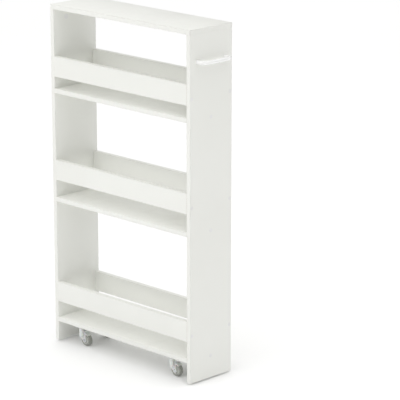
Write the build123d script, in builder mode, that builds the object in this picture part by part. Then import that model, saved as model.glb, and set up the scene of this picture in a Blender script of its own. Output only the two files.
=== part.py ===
"""Slim rolling pantry cart: a board carcass with three shelves, guard rails, a bow handle and
four swivel casters. Millimetres. +Z is up, the front faces -Y and the handle is on the +X end.
The origin is on the floor, under the middle of the whole cart with its handle."""

import os
from math import cos, radians, sin

from build123d import *

os.makedirs("parts", exist_ok=True)

# --- carcass ---------------------------------------------------------------------------------
CART_LENGTH = 500.0  # over the side panels, along X
CART_DEPTH = 145.0  # along Y
CART_HEIGHT = 900.0  # floor to the top face
BOARD = 12.0  # thickness of every board
EASED_EDGE = 0.6  # radius on the banded edges
FLOOR_GAP = 5.0  # under the side panels
SHELF_UNDERSIDES = {"bottom": 56.5, "middle": 383.0, "upper": 670.5}
RAIL_UNDERSIDES = {"bottom": 112.0, "middle": 441.0, "upper": 713.5}
RAIL_HEIGHT = 53.0

# --- fasteners -------------------------------------------------------------------------------
SCREW_RADIUS = 2.5
SCREW_LENGTH = 42.0
SCREW_HEAD_RADIUS = 3.6
SCREW_HEAD_DEPTH = 2.4
SCREW_TIP = 3.0
RAIL_SCREW_HEIGHT = 17.0  # above the rail's lower edge
CAP_RADIUS = 5.0
CAP_THICKNESS = 0.4
DOWEL_RADIUS = 3.0
DOWEL_LENGTH = 30.0
DOWEL_CHAMFER = 0.5
DOWEL_IN_SIDE = 8.0  # the end that sits in the thin board
SHELF_DOWEL_SPACING = 90.0
RAIL_DOWEL_HEIGHT = 38.0
TOP_DOWEL_SPACING = 105.0
CAM_SPACING = 60.0
CAM_RADIUS = 6.0
CAM_DEPTH = 9.5
CAM_BELOW_TOP_BOARD = 24.0
CAM_BOLT_RADIUS = 2.5
CAM_SLOT_DEPTH = 1.2
CAM_SLOT_LENGTH = 8.4
CAM_SLOT_WIDTH = 1.8

# --- handle ----------------------------------------------------------------------------------
HANDLE_HEIGHT = 819.0
HANDLE_CENTRES = 96.0  # between the two ends
HANDLE_RADIUS = 5.0
HANDLE_STANDOFF = 24.0  # panel face to the bar's axis
HANDLE_BEND = 14.0
HANDLE_SCREW_RADIUS = 2.0
HANDLE_SCREW_REACH = 13.0  # thread inside each end of the handle
PAN_HEAD_RADIUS = 4.0
PAN_HEAD_HEIGHT = 2.6

# --- casters ---------------------------------------------------------------------------------
# Each caster is one-sided: the barrel that turns on the swivel pin stands beside the wheel, and a
# cheek hangs from it, carries the axle and grows a short hood over the tread.
CASTER_X = 168.0  # swivel axis from the middle of the carcass
CASTER_Y = 56.0
CASTER_HEADINGS = {  # direction from the swivel axis to the axle, degrees from +X
    "front_left": 0.0,
    "front_right": 0.0,
    "back_left": 180.0,
    "back_right": 180.0,
}
PLATE_SIZE = 30.0
PLATE_THICKNESS = 1.6
PLATE_CORNER = 4.0
PLATE_SCREW_SPACING = 22.0
PLATE_SCREW_RADIUS = 1.5
PLATE_SCREW_BITE = 9.0
PLATE_SCREW_HEAD_RADIUS = 3.2
PLATE_SCREW_HEAD_HEIGHT = 1.8
WASHER_RADIUS = 7.0
WASHER_THICKNESS = 1.0
SWIVEL_PIN_RADIUS = 3.0
RUNNING_CLEARANCE = 0.05
FACE_CLEARANCE = 0.1
PIN_END = 30.0  # height of the pin's lower end
RING_SEAT = 33.0  # height of the seat for the retaining ring
RING_RADIUS = 4.1
RING_THICKNESS = 0.8
RING_POCKET_RADIUS = 4.5
BARREL_RADIUS = 6.0
BARREL_END = 28.0  # height of the barrel's lower end
WHEEL_RADIUS = 16.0
WHEEL_WIDTH = 12.0
WHEEL_ROUNDING = 2.0
HUB_RADIUS = 10.8
HUB_DISH_INNER = 4.8
HUB_DISH_OUTER = 9.2
HUB_DISH_DEPTH = 2.0
TRAIL = 5.0
AXLE_RADIUS = 2.5
AXLE_HEAD_RADIUS = 3.8
AXLE_HEAD_THICKNESS = 1.0
AXLE_END_GAP = 0.2
CHEEK_START = 4.6  # from the swivel axis, towards the wheel
CHEEK = 3.0
CHEEK_TO_WHEEL = 0.8
CHEEK_EYE_RADIUS = 5.6
CHEEK_TOP = 38.0  # height of the centre of the cheek's rounded top
CHEEK_EDGE = 0.8
HOOD_GAP = 1.5  # tread to hood
HOOD = 2.0
HOOD_START = 48.0  # degrees round the axle, from the trailing side
HOOD_SPAN = 104.0

# --- derived places --------------------------------------------------------------------------
HANDLE_REACH = HANDLE_STANDOFF + HANDLE_RADIUS
MIDDLE_X = (CAP_THICKNESS - HANDLE_REACH) / 2  # middle of the carcass, so that X = 0 halves the cart
OUTER_X = {-1: MIDDLE_X - CART_LENGTH / 2, 1: MIDDLE_X + CART_LENGTH / 2}
INNER_X = {side: OUTER_X[side] - side * BOARD for side in (-1, 1)}
INNER_LENGTH = CART_LENGTH - 2 * BOARD
SIDE_TOP = CART_HEIGHT - BOARD
SIDE_NAMES = {-1: "left", 1: "right"}
ROW_NAMES = {-1: "front", 1: "back"}
RAIL_Y = (CART_DEPTH - BOARD) / 2
INWARD = {-1: (0, 90, 0), 1: (0, -90, 0)}  # turns +Z to point into the cart from each side
SHELF_BOTTOM = SHELF_UNDERSIDES["bottom"]


def finish(piece, name):
    """Label one finished piece and write its STEP file."""
    piece.part.label = name
    export_step(piece.part, f"parts/{name}.step")


def board_end_places(inset, levels, height, rows):
    """One place at each end of each board at the given rows, pointing into the cart."""
    places = []
    for underside in levels.values():
        for side in (-1, 1):
            for y in rows:
                places.append(Location((OUTER_X[side] - side * inset, y, underside + height), INWARD[side]))
    return places


# --- fasteners -------------------------------------------------------------------------------
with BuildPart() as one_screw:
    with BuildSketch(Plane.XZ):
        with BuildLine():
            Polyline(
                (0, 0),
                (SCREW_HEAD_RADIUS, 0),
                (SCREW_RADIUS, SCREW_HEAD_DEPTH),
                (SCREW_RADIUS, SCREW_LENGTH - SCREW_TIP),
                (SCREW_RADIUS / 2, SCREW_LENGTH),
                (0, SCREW_LENGTH),
                close=True,
            )
        make_face()
    revolve(axis=Axis.Z)

with BuildPart() as one_dowel:
    Cylinder(DOWEL_RADIUS, DOWEL_LENGTH, align=(Align.CENTER, Align.CENTER, Align.MIN))
    chamfer(one_dowel.edges(), DOWEL_CHAMFER)

shelf_screw_places = board_end_places(0, SHELF_UNDERSIDES, BOARD / 2, [0])
rail_screw_places = board_end_places(0, RAIL_UNDERSIDES, RAIL_SCREW_HEIGHT, [-RAIL_Y, RAIL_Y])
screw_places = shelf_screw_places + rail_screw_places

dowel_inset = BOARD - DOWEL_IN_SIDE
shelf_dowel_rows = [-SHELF_DOWEL_SPACING / 2, SHELF_DOWEL_SPACING / 2]
shelf_dowel_places = board_end_places(dowel_inset, SHELF_UNDERSIDES, BOARD / 2, shelf_dowel_rows)
rail_dowel_places = board_end_places(dowel_inset, RAIL_UNDERSIDES, RAIL_DOWEL_HEIGHT, [-RAIL_Y, RAIL_Y])
side_middle_x = {side: OUTER_X[side] - side * BOARD / 2 for side in (-1, 1)}
top_dowel_places = []
cam_places = []
cam_bolt_places = []
for side in (-1, 1):
    for row in (-1, 1):
        dowel_y = row * TOP_DOWEL_SPACING / 2
        dowel_z = SIDE_TOP - DOWEL_LENGTH + DOWEL_IN_SIDE
        top_dowel_places.append(Location((side_middle_x[side], dowel_y, dowel_z)))
        cam_y = row * CAM_SPACING / 2
        cam_z = SIDE_TOP - CAM_BELOW_TOP_BOARD
        cam_places.append(Location((INNER_X[side], cam_y, cam_z), INWARD[-side]))
        cam_bolt_places.append(Location((side_middle_x[side], cam_y, cam_z)))
dowel_places = shelf_dowel_places + rail_dowel_places + top_dowel_places

with BuildPart() as panel_screws:
    with Locations(*screw_places):
        add(one_screw.part)
finish(panel_screws, "panel_screws")

with BuildPart() as dowels:
    with Locations(*dowel_places):
        add(one_dowel.part)
finish(dowels, "dowels")

with BuildPart() as one_cap:
    Cylinder(CAP_RADIUS, CAP_THICKNESS, align=(Align.CENTER, Align.CENTER, Align.MAX))

with BuildPart() as screw_cover_caps:
    with Locations(*screw_places):
        add(one_cap.part)
finish(screw_cover_caps, "screw_cover_caps")

# A cam bolt screws up into the top board; its lower end is held in the cam.
cam_bolt_length = CAM_BELOW_TOP_BOARD + DOWEL_IN_SIDE
with BuildPart() as one_cam_bolt:
    Cylinder(CAM_BOLT_RADIUS, cam_bolt_length, align=(Align.CENTER, Align.CENTER, Align.MIN))

with BuildPart() as cam_bolts:
    with Locations(*cam_bolt_places):
        add(one_cam_bolt.part)
finish(cam_bolts, "cam_bolts")

with BuildPart() as one_cam_blank:
    Cylinder(CAM_RADIUS, CAM_DEPTH, align=(Align.CENTER, Align.CENTER, Align.MIN))

with BuildPart() as one_cam:
    add(one_cam_blank.part)
    slot_box = (CAM_SLOT_LENGTH, CAM_SLOT_WIDTH, CAM_SLOT_DEPTH)
    for turn in (0, 90):
        Box(*slot_box, rotation=(0, 0, turn), align=(Align.CENTER, Align.CENTER, Align.MIN), mode=Mode.SUBTRACT)

with BuildPart() as cams:
    with Locations(*cam_places):
        add(one_cam.part)
    with Locations(*cam_bolt_places):
        add(one_cam_bolt.part, mode=Mode.SUBTRACT)
finish(cams, "cams")

# --- handle ----------------------------------------------------------------------------------
handle_face_x = OUTER_X[1]
with BuildPart() as bow_handle:
    with BuildLine(Plane.XY.offset(HANDLE_HEIGHT)) as bow_line:
        FilletPolyline(
            (handle_face_x, -HANDLE_CENTRES / 2),
            (handle_face_x + HANDLE_STANDOFF, -HANDLE_CENTRES / 2),
            (handle_face_x + HANDLE_STANDOFF, HANDLE_CENTRES / 2),
            (handle_face_x, HANDLE_CENTRES / 2),
            radius=HANDLE_BEND,
        )
    with BuildSketch(Plane(origin=bow_line.wire() @ 0, z_dir=(1, 0, 0))):
        Circle(HANDLE_RADIUS)
    sweep()
    for row in (-1, 1):
        hole_start = Plane(origin=(handle_face_x, row * HANDLE_CENTRES / 2, HANDLE_HEIGHT), z_dir=(1, 0, 0))
        with BuildSketch(hole_start):
            Circle(HANDLE_SCREW_RADIUS)
        extrude(amount=HANDLE_SCREW_REACH, mode=Mode.SUBTRACT)
finish(bow_handle, "bow_handle")

handle_screw_length = BOARD + HANDLE_SCREW_REACH
with BuildPart() as one_handle_screw:
    Cylinder(HANDLE_SCREW_RADIUS, handle_screw_length, align=(Align.CENTER, Align.CENTER, Align.MIN))
    Cylinder(PAN_HEAD_RADIUS, PAN_HEAD_HEIGHT, align=(Align.CENTER, Align.CENTER, Align.MAX))
    fillet(one_handle_screw.edges().sort_by(Axis.Z)[0], PAN_HEAD_HEIGHT / 2)

with BuildPart() as handle_screws:
    with Locations(
        *[Location((INNER_X[1], row * HANDLE_CENTRES / 2, HANDLE_HEIGHT), (0, 90, 0)) for row in (-1, 1)]
    ):
        add(one_handle_screw.part)
finish(handle_screws, "handle_screws")

# --- boards ----------------------------------------------------------------------------------
with BuildPart() as top_panel:
    with BuildSketch(Plane(origin=(MIDDLE_X, 0, SIDE_TOP))):
        Rectangle(CART_LENGTH, CART_DEPTH)
    extrude(amount=BOARD)
    fillet(top_panel.edges(), EASED_EDGE)
    with Locations(*top_dowel_places):
        add(one_dowel.part, mode=Mode.SUBTRACT)
    with Locations(*cam_bolt_places):
        add(one_cam_bolt.part, mode=Mode.SUBTRACT)
finish(top_panel, "top_panel")

for side in (-1, 1):
    with BuildPart() as side_panel:
        with BuildSketch(Plane(origin=(side_middle_x[side], 0, FLOOR_GAP))):
            Rectangle(BOARD, CART_DEPTH)
        extrude(amount=SIDE_TOP - FLOOR_GAP)
        fillet(side_panel.edges().filter_by(Axis.Z), EASED_EDGE)
        with Locations(*screw_places):
            add(one_screw.part, mode=Mode.SUBTRACT)
        with Locations(*dowel_places):
            add(one_dowel.part, mode=Mode.SUBTRACT)
        with Locations(*cam_places):
            add(one_cam_blank.part, mode=Mode.SUBTRACT)
        with Locations(*cam_bolt_places):
            add(one_cam_bolt.part, mode=Mode.SUBTRACT)
        if side == 1:
            add(handle_screws.part, mode=Mode.SUBTRACT)
    finish(side_panel, f"{SIDE_NAMES[side]}_side_panel")

# --- casters, part by part, on the caster's own upright plane ----------------------------------
plate_underside = SHELF_BOTTOM - PLATE_THICKNESS
neck_top = plate_underside - WASHER_THICKNESS - FACE_CLEARANCE
hood_radius = WHEEL_RADIUS + HOOD_GAP + HOOD / 2  # to the middle of the hood's wall
cheek_end = CHEEK_START + CHEEK
wheel_start = cheek_end + CHEEK_TO_WHEEL
wheel_middle = wheel_start + WHEEL_WIDTH / 2
wheel_end = wheel_start + WHEEL_WIDTH
hood_end = HOOD_START + HOOD_SPAN
hood_turns = (HOOD_START, HOOD_START + HOOD_SPAN / 2, hood_end)
hood_reach = 3 * WHEEL_RADIUS
hood_points = [(hood_reach * cos(radians(turn)), hood_reach * sin(radians(turn))) for turn in hood_turns]
hood_wedge = [(0, 0), *hood_points]

with BuildPart() as one_plate_screw:
    Cylinder(PLATE_SCREW_RADIUS, PLATE_THICKNESS + PLATE_SCREW_BITE, align=(Align.CENTER, Align.CENTER, Align.MIN))
    Cylinder(
        PLATE_SCREW_HEAD_RADIUS, PLATE_SCREW_HEAD_HEIGHT, align=(Align.CENTER, Align.CENTER, Align.MAX)
    )
    fillet(one_plate_screw.edges().sort_by(Axis.Z)[0], PLATE_SCREW_HEAD_HEIGHT / 2)


def make_caster(corner, x, y, heading):
    """Write the eight pieces of one caster and return the places of its plate screws."""
    spot = Plane(origin=(x, y, 0), x_dir=(cos(radians(heading)), sin(radians(heading)), 0), z_dir=(0, 0, 1))
    upright = Plane(origin=(x, y, 0), x_dir=spot.x_dir, z_dir=-spot.y_dir)
    square = Plane(origin=(x, y, plate_underside))
    axle_place = Location((TRAIL, WHEEL_RADIUS))

    with BuildPart() as plate:
        with BuildSketch(square):
            RectangleRounded(PLATE_SIZE, PLATE_SIZE, PLATE_CORNER)
            Circle(SWIVEL_PIN_RADIUS, mode=Mode.SUBTRACT)
            with GridLocations(PLATE_SCREW_SPACING, PLATE_SCREW_SPACING, 2, 2) as holes:
                Circle(PLATE_SCREW_RADIUS, mode=Mode.SUBTRACT)
        extrude(amount=PLATE_THICKNESS)
    finish(plate, f"{corner}_caster_plate")

    with BuildPart() as swivel_pin:
        with BuildSketch(spot.offset(PIN_END)):
            Circle(SWIVEL_PIN_RADIUS)
        extrude(amount=SHELF_BOTTOM - PIN_END)
        chamfer(swivel_pin.edges().sort_by(Axis.Z)[0], EASED_EDGE)
    finish(swivel_pin, f"{corner}_swivel_pin")

    with BuildPart() as thrust_washer:
        with BuildSketch(spot.offset(plate_underside)):
            Circle(WASHER_RADIUS)
            Circle(SWIVEL_PIN_RADIUS, mode=Mode.SUBTRACT)
        extrude(amount=-WASHER_THICKNESS)
    finish(thrust_washer, f"{corner}_thrust_washer")

    with BuildPart() as retaining_ring:
        with BuildSketch(spot.offset(RING_SEAT - FACE_CLEARANCE)):
            Circle(RING_RADIUS)
            Circle(SWIVEL_PIN_RADIUS, mode=Mode.SUBTRACT)
        extrude(amount=-RING_THICKNESS)
    finish(retaining_ring, f"{corner}_retaining_ring")

    with BuildPart() as fork:
        with BuildSketch(upright.offset(-CHEEK_START)):
            with Locations((0, CHEEK_TOP)):
                Circle(BARREL_RADIUS)
            with Locations(axle_place):
                Circle(CHEEK_EYE_RADIUS)
                with PolarLocations(hood_radius, 1, hood_end):
                    Circle(HOOD / 2)
            make_hull()
        extrude(amount=-CHEEK)
        fillet(fork.faces().sort_by(Axis(upright.origin, upright.z_dir))[-1].edges(), CHEEK_EDGE)
        with BuildSketch(upright.offset(-CHEEK_START)) as hood:
            with Locations(axle_place):
                Circle(hood_radius + HOOD / 2)
                Circle(hood_radius - HOOD / 2, mode=Mode.SUBTRACT)
                Polygon(*hood_wedge, align=None, mode=Mode.INTERSECT)
            fillet(hood.vertices(), CHEEK_EDGE)
        extrude(amount=CHEEK_START - wheel_end)
        with BuildSketch(spot.offset(BARREL_END)):
            Circle(BARREL_RADIUS)
        extrude(amount=neck_top - BARREL_END)
        with BuildSketch(spot):
            Circle(SWIVEL_PIN_RADIUS + RUNNING_CLEARANCE)
        extrude(amount=SHELF_BOTTOM, mode=Mode.SUBTRACT)
        with BuildSketch(spot):
            Circle(RING_POCKET_RADIUS)
        extrude(amount=RING_SEAT, mode=Mode.SUBTRACT)
        with BuildSketch(upright):
            with Locations(axle_place):
                Circle(AXLE_RADIUS)
        extrude(amount=-wheel_end, mode=Mode.SUBTRACT)
    finish(fork, f"{corner}_fork")

    with BuildPart() as axle:
        with BuildSketch(upright.offset(-CHEEK_START)):
            with Locations(axle_place):
                Circle(AXLE_RADIUS)
        extrude(amount=CHEEK_START - wheel_end - AXLE_END_GAP)
        for start, step in ((CHEEK_START, 1), (wheel_end + AXLE_END_GAP, -1)):
            with BuildSketch(upright.offset(-start)):
                with Locations(axle_place):
                    Circle(AXLE_HEAD_RADIUS)
            extrude(amount=step * AXLE_HEAD_THICKNESS)
        ends = axle.faces().filter_by(upright).sort_by(Axis(upright.origin, upright.z_dir))
        fillet(ends[0].edges() + ends[-1].edges(), EASED_EDGE)
    finish(axle, f"{corner}_axle")

    wheel_plane = upright.offset(-wheel_middle)
    with BuildPart() as wheel_hub:
        with BuildSketch(wheel_plane):
            with Locations(axle_place):
                Circle(HUB_RADIUS)
                Circle(AXLE_RADIUS + RUNNING_CLEARANCE, mode=Mode.SUBTRACT)
        extrude(amount=WHEEL_WIDTH / 2, both=True)
        for side in (-1, 1):
            with BuildSketch(wheel_plane.offset(side * WHEEL_WIDTH / 2)):
                with Locations(axle_place):
                    Circle(HUB_DISH_OUTER)
                    Circle(HUB_DISH_INNER, mode=Mode.SUBTRACT)
            extrude(amount=-side * HUB_DISH_DEPTH, mode=Mode.SUBTRACT)
    finish(wheel_hub, f"{corner}_wheel_hub")

    with BuildPart() as tyre:
        with BuildSketch(wheel_plane):
            with Locations(axle_place):
                Circle(WHEEL_RADIUS)
        extrude(amount=WHEEL_WIDTH / 2, both=True)
        fillet(tyre.edges(), WHEEL_ROUNDING)
        with BuildSketch(wheel_plane):
            with Locations(axle_place):
                Circle(HUB_RADIUS)
        extrude(amount=WHEEL_WIDTH / 2, both=True, mode=Mode.SUBTRACT)
    finish(tyre, f"{corner}_tyre")

    return [Location(square.location * hole) for hole in holes.local_locations]


plate_screw_places = []
for corner, heading in CASTER_HEADINGS.items():
    row, side = corner.split("_")
    x = MIDDLE_X + CASTER_X * (1 if side == "right" else -1)
    y = CASTER_Y * (1 if row == "back" else -1)
    plate_screw_places += make_caster(corner, x, y, heading)

with BuildPart() as caster_screws:
    with Locations(*plate_screw_places):
        add(one_plate_screw.part)
finish(caster_screws, "caster_screws")

# --- shelves and rails, drilled for the fasteners that end in them ------------------------------
for level, underside in SHELF_UNDERSIDES.items():
    with BuildPart() as shelf:
        with BuildSketch(Plane(origin=(MIDDLE_X, 0, underside))):
            Rectangle(INNER_LENGTH, CART_DEPTH)
        extrude(amount=BOARD)
        fillet(shelf.edges().filter_by(Axis.X), EASED_EDGE)
        with Locations(*[place for place in shelf_screw_places if abs(place.position.Z - underside) < BOARD]):
            add(one_screw.part, mode=Mode.SUBTRACT)
        with Locations(*[place for place in shelf_dowel_places if abs(place.position.Z - underside) < BOARD]):
            add(one_dowel.part, mode=Mode.SUBTRACT)
        if level == "bottom":
            with Locations(*plate_screw_places):
                add(one_plate_screw.part, mode=Mode.SUBTRACT)
    finish(shelf, f"{level}_shelf")

for level, underside in RAIL_UNDERSIDES.items():
    for row in (-1, 1):
        places = [
            (one_screw, [place for place in rail_screw_places if place.position.Z == underside + RAIL_SCREW_HEIGHT]),
            (one_dowel, [place for place in rail_dowel_places if place.position.Z == underside + RAIL_DOWEL_HEIGHT]),
        ]
        with BuildPart() as rail:
            with BuildSketch(Plane(origin=(MIDDLE_X, row * RAIL_Y, underside))):
                Rectangle(INNER_LENGTH, BOARD)
            extrude(amount=RAIL_HEIGHT)
            fillet(rail.edges().filter_by(Axis.X), EASED_EDGE)
            for fastener, spots in places:
                with Locations(*[spot for spot in spots if spot.position.Y * row > 0]):
                    add(fastener.part, mode=Mode.SUBTRACT)
        finish(rail, f"{level}_{ROW_NAMES[row]}_rail")
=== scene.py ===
# %% [markdown]
# # A slim rolling pantry cart
# The cart is a white board carcass: two side panels under a top panel, three shelves between them, and
# a guard rail in front of and behind each shelf. It has a bow handle on one end and four small swivel
# casters below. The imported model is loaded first. It is the fixed frame: every size and every place
# below is read from it, in metres.

# %% Load the fixed frame
import math

import bmesh
import bpy
from mathutils import Matrix, Vector


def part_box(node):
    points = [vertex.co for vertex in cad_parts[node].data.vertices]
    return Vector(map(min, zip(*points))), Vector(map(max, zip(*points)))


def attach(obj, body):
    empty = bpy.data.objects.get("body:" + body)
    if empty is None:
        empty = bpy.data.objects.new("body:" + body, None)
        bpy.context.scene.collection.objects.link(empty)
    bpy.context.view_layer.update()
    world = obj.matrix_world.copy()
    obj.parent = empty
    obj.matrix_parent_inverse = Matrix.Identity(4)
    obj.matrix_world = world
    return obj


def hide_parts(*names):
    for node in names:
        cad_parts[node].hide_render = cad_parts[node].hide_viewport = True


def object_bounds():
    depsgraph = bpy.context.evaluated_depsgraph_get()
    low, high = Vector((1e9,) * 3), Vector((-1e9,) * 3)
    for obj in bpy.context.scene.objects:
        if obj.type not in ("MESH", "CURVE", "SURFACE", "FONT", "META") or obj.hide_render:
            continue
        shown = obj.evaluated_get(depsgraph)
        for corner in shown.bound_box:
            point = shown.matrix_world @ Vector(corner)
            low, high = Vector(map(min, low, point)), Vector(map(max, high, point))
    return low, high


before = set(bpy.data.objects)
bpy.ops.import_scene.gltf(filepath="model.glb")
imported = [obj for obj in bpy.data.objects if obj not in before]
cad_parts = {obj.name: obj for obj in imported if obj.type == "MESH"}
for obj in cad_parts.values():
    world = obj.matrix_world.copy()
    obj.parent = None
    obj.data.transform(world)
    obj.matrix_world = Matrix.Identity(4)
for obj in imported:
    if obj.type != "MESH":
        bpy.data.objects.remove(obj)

cart_low, cart_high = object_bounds()
millimetre = 0.001
print("the cart is", [round(v / millimetre) for v in cart_high - cart_low], "mm")

# %% [markdown]
# ## The camera
# The view is from the front right and a little above, with a long lens from well back, so that the
# upright edges stay nearly parallel. The aim is a little to the right of the cart, which puts the cart
# left of the middle of the picture.

# %% Camera
CAMERA_AZIMUTH = 44.6
CAMERA_ELEVATION = 15.3
CAMERA_DISTANCE = 5.754
CAMERA_LENS = 204.5
AIM_RIGHT = 0.141
AIM_DOWN = 0.028


def direction_from(azimuth, elevation):
    """The unit vector from the cart towards a viewer. Azimuth 0 is straight in front."""
    turn = math.radians(azimuth)
    lift = math.radians(elevation)
    flat = math.cos(lift)
    return Vector((math.sin(turn) * flat, -math.cos(turn) * flat, math.sin(lift)))


cart_middle = Vector((0, 0, cart_high.z / 2))
to_camera = direction_from(CAMERA_AZIMUTH, CAMERA_ELEVATION)
camera_right = Vector((math.cos(math.radians(CAMERA_AZIMUTH)), math.sin(math.radians(CAMERA_AZIMUTH)), 0))
camera_up = to_camera.cross(camera_right)
aim = cart_middle + AIM_RIGHT * camera_right - AIM_DOWN * camera_up
camera = bpy.data.objects.new("camera", bpy.data.cameras.new("camera"))
camera.data.lens = CAMERA_LENS
camera.data.clip_end = 1000
camera.location = aim + CAMERA_DISTANCE * to_camera
camera.rotation_euler = to_camera.to_track_quat("Z", "Y").to_euler()
bpy.context.scene.collection.objects.link(camera)
bpy.context.scene.camera = camera
print("the camera stands", round(CAMERA_DISTANCE, 1), "m away")

# %% [markdown]
# ## Helpers
# A few small helpers carry most of the work. Some make an object from a bmesh, or turn a profile about
# an axis like a lathe. The others build node trees: each adds one kind of node and hands back its
# result, so that a tree reads like a sum.

# %% Mesh helpers
def object_from(name, mesh):
    """A linked object at the origin that shows the mesh."""
    made = bpy.data.objects.new(name, mesh)
    bpy.context.scene.collection.objects.link(made)
    return made


def mesh_from(name, shape, smooth_angle=30.0):
    """Close a bmesh into a mesh with outward faces, smooth where it turns less than the angle."""
    bmesh.ops.remove_doubles(shape, verts=shape.verts, dist=1e-7)
    bmesh.ops.recalc_face_normals(shape, faces=shape.faces)
    mesh = bpy.data.meshes.new(name)
    shape.to_mesh(mesh)
    shape.free()
    mesh.shade_smooth()
    mesh.set_sharp_from_angle(angle=math.radians(smooth_angle))
    return mesh


def lathe(profile, steps=48):
    """Turn (radius, height) points about Z. Points on the axis close the ends; a ring closes itself."""
    shape = bmesh.new()
    rings = []
    for step in range(steps):
        angle = 2 * math.pi * step / steps
        rings.append([shape.verts.new((r * math.cos(angle), r * math.sin(angle), h)) for r, h in profile])
    closes = profile[0][0] > 0
    count = len(profile)
    for step in range(steps):
        here = rings[step]
        there = rings[(step + 1) % steps]
        for i in range(count if closes else count - 1):
            j = (i + 1) % count
            corners = [here[i], there[i], there[j], here[j]]
            shape.faces.new(corners)
    bmesh.ops.remove_doubles(shape, verts=shape.verts, dist=1e-7)
    bmesh.ops.dissolve_degenerate(shape, edges=shape.edges, dist=1e-8)
    return shape


def arc(centre, radius, start, end, steps):
    """Points on an arc in the profile's plane, angles in degrees."""
    points = []
    for i in range(steps + 1):
        angle = math.radians(start + (end - start) * i / steps)
        points.append((centre[0] + radius * math.cos(angle), centre[1] + radius * math.sin(angle)))
    return points


def plain_result(name, source):
    """Keep what a modifier made as a plain mesh on a new object, and remove the source."""
    bpy.context.view_layer.update()
    depsgraph = bpy.context.evaluated_depsgraph_get()
    evaluated = source.evaluated_get(depsgraph)
    mesh = bpy.data.meshes.new_from_object(evaluated, preserve_all_data_layers=True, depsgraph=depsgraph)
    mesh.name = name
    bpy.data.objects.remove(source)
    return object_from(name, mesh)

# %% Node helpers
FLOAT = "NodeSocketFloat"
VECTOR = "NodeSocketVector"
WHOLE = "NodeSocketInt"
MATERIAL = "NodeSocketMaterial"


def add_node(tree, kind, inputs=None, **settings):
    """One node with its settings and the values or links of its inputs."""
    node = tree.nodes.new(kind)
    for setting, value in settings.items():
        setattr(node, setting, value)
    for socket, value in (inputs or {}).items():
        if isinstance(value, bpy.types.NodeSocket):
            tree.links.new(value, node.inputs[socket])
        else:
            node.inputs[socket].default_value = value
    return node


def new_group(name, kind, inputs, outputs):
    """A node group with named sockets. Returns the tree, its input node and its output node."""
    tree = bpy.data.node_groups.new(name, kind)
    for label, socket_type, value in inputs:
        socket = tree.interface.new_socket(label, in_out="INPUT", socket_type=socket_type)
        if value is not None:
            socket.default_value = value
    for label, socket_type in outputs:
        tree.interface.new_socket(label, in_out="OUTPUT", socket_type=socket_type)
    return tree, tree.nodes.new("NodeGroupInput"), tree.nodes.new("NodeGroupOutput")


def take(tree, kind, inputs=None, **settings):
    """The first output of a new node."""
    return add_node(tree, kind, inputs, **settings).outputs[0]


def calculate(tree, operation, first, second):
    """One sum in a tree."""
    return take(tree, "ShaderNodeMath", {0: first, 1: second}, operation=operation)


def ranged(tree, value, low, high, start=0.0, finish=1.0, ease="SMOOTHSTEP"):
    """Go from start, where the value is low, to finish, where it is high."""
    inputs = {"Value": value, "From Min": low, "From Max": high, "To Min": start, "To Max": finish}
    return take(tree, "ShaderNodeMapRange", inputs, interpolation_type=ease)


def noise(tree, position, scale, detail, **other):
    """Noise at a scale, with its other inputs by name."""
    return take(tree, "ShaderNodeTexNoise", {"Vector": position, "Scale": scale, "Detail": detail, **other})


def shader_group(name, inputs, output):
    """A group for materials. Returns its tree, its inputs as sockets, and the socket of its output."""
    tree, start, end = new_group(name, "ShaderNodeTree", inputs, [(output, FLOAT)])
    return tree, start.outputs[:len(inputs)], end.inputs[0]

# %% [markdown]
# ## Light
# A product picture of a white thing on white needs soft light from above, or the floor goes grey, and
# much less from the sides, or the white boards run together and the bays look as bright as the front.
# So the world is bright overhead and dim at the horizon. Two soft panels then lift the front a little
# above the end of the cart. A viewer who looks past the floor sees a white wall: the Light Path node
# tells that look apart from the light that falls on the cart.

# %% World and light panels
HORIZON_LIGHT = 0.0
ZENITH_LIGHT = 1.25
WALL_LIGHT = 1.0
FRONT_POWER = 22.0
END_POWER = 8.0
PANEL_DISTANCE = 3.6
PANEL_SIZE = 2.4


def make_world():
    world = bpy.data.worlds.new("studio")
    bpy.context.scene.world = world
    world.use_nodes = True
    tree = world.node_tree
    direction = tree.nodes.new("ShaderNodeTexCoord").outputs["Generated"]
    up = add_node(tree, "ShaderNodeSeparateXYZ", {0: direction}).outputs["Z"]
    dome = ranged(tree, up, 0.0, 0.8, HORIZON_LIGHT, ZENITH_LIGHT)
    seen = tree.nodes.new("ShaderNodeLightPath").outputs["Is Camera Ray"]
    strength = add_node(tree, "ShaderNodeMix", {"Factor": seen, "A": dome, "B": WALL_LIGHT})
    background = tree.nodes["Background"]
    background.inputs["Color"].default_value = (1.0, 1.0, 0.995, 1.0)
    tree.links.new(strength.outputs["Result"], background.inputs["Strength"])


def soft_panel(name, azimuth, elevation, power):
    """A square area light that faces the middle of the cart."""
    light = bpy.data.lights.new(name, "AREA")
    light.size = PANEL_SIZE
    light.energy = power
    panel = bpy.data.objects.new(name, light)
    panel.location = cart_middle + PANEL_DISTANCE * direction_from(azimuth, elevation)
    panel.rotation_euler = direction_from(azimuth, elevation).to_track_quat("Z", "Y").to_euler()
    bpy.context.scene.collection.objects.link(panel)


bpy.context.scene.view_settings.view_transform = "Standard"
make_world()
soft_panel("front_panel", azimuth=-8, elevation=30, power=FRONT_POWER)
soft_panel("end_panel", azimuth=78, elevation=35, power=END_POWER)
print("lights:", len(bpy.data.lights))

# %% [markdown]
# ## Shared surface effects
# Every finish on the cart needs the same few things: a mask for edges that hands and shoes have
# rubbed, a film of dust where a face looks up, uneven gloss from wiping, and a fine relief. Each is a
# node group, made once, and every material gives it its own scale and strength.

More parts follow.
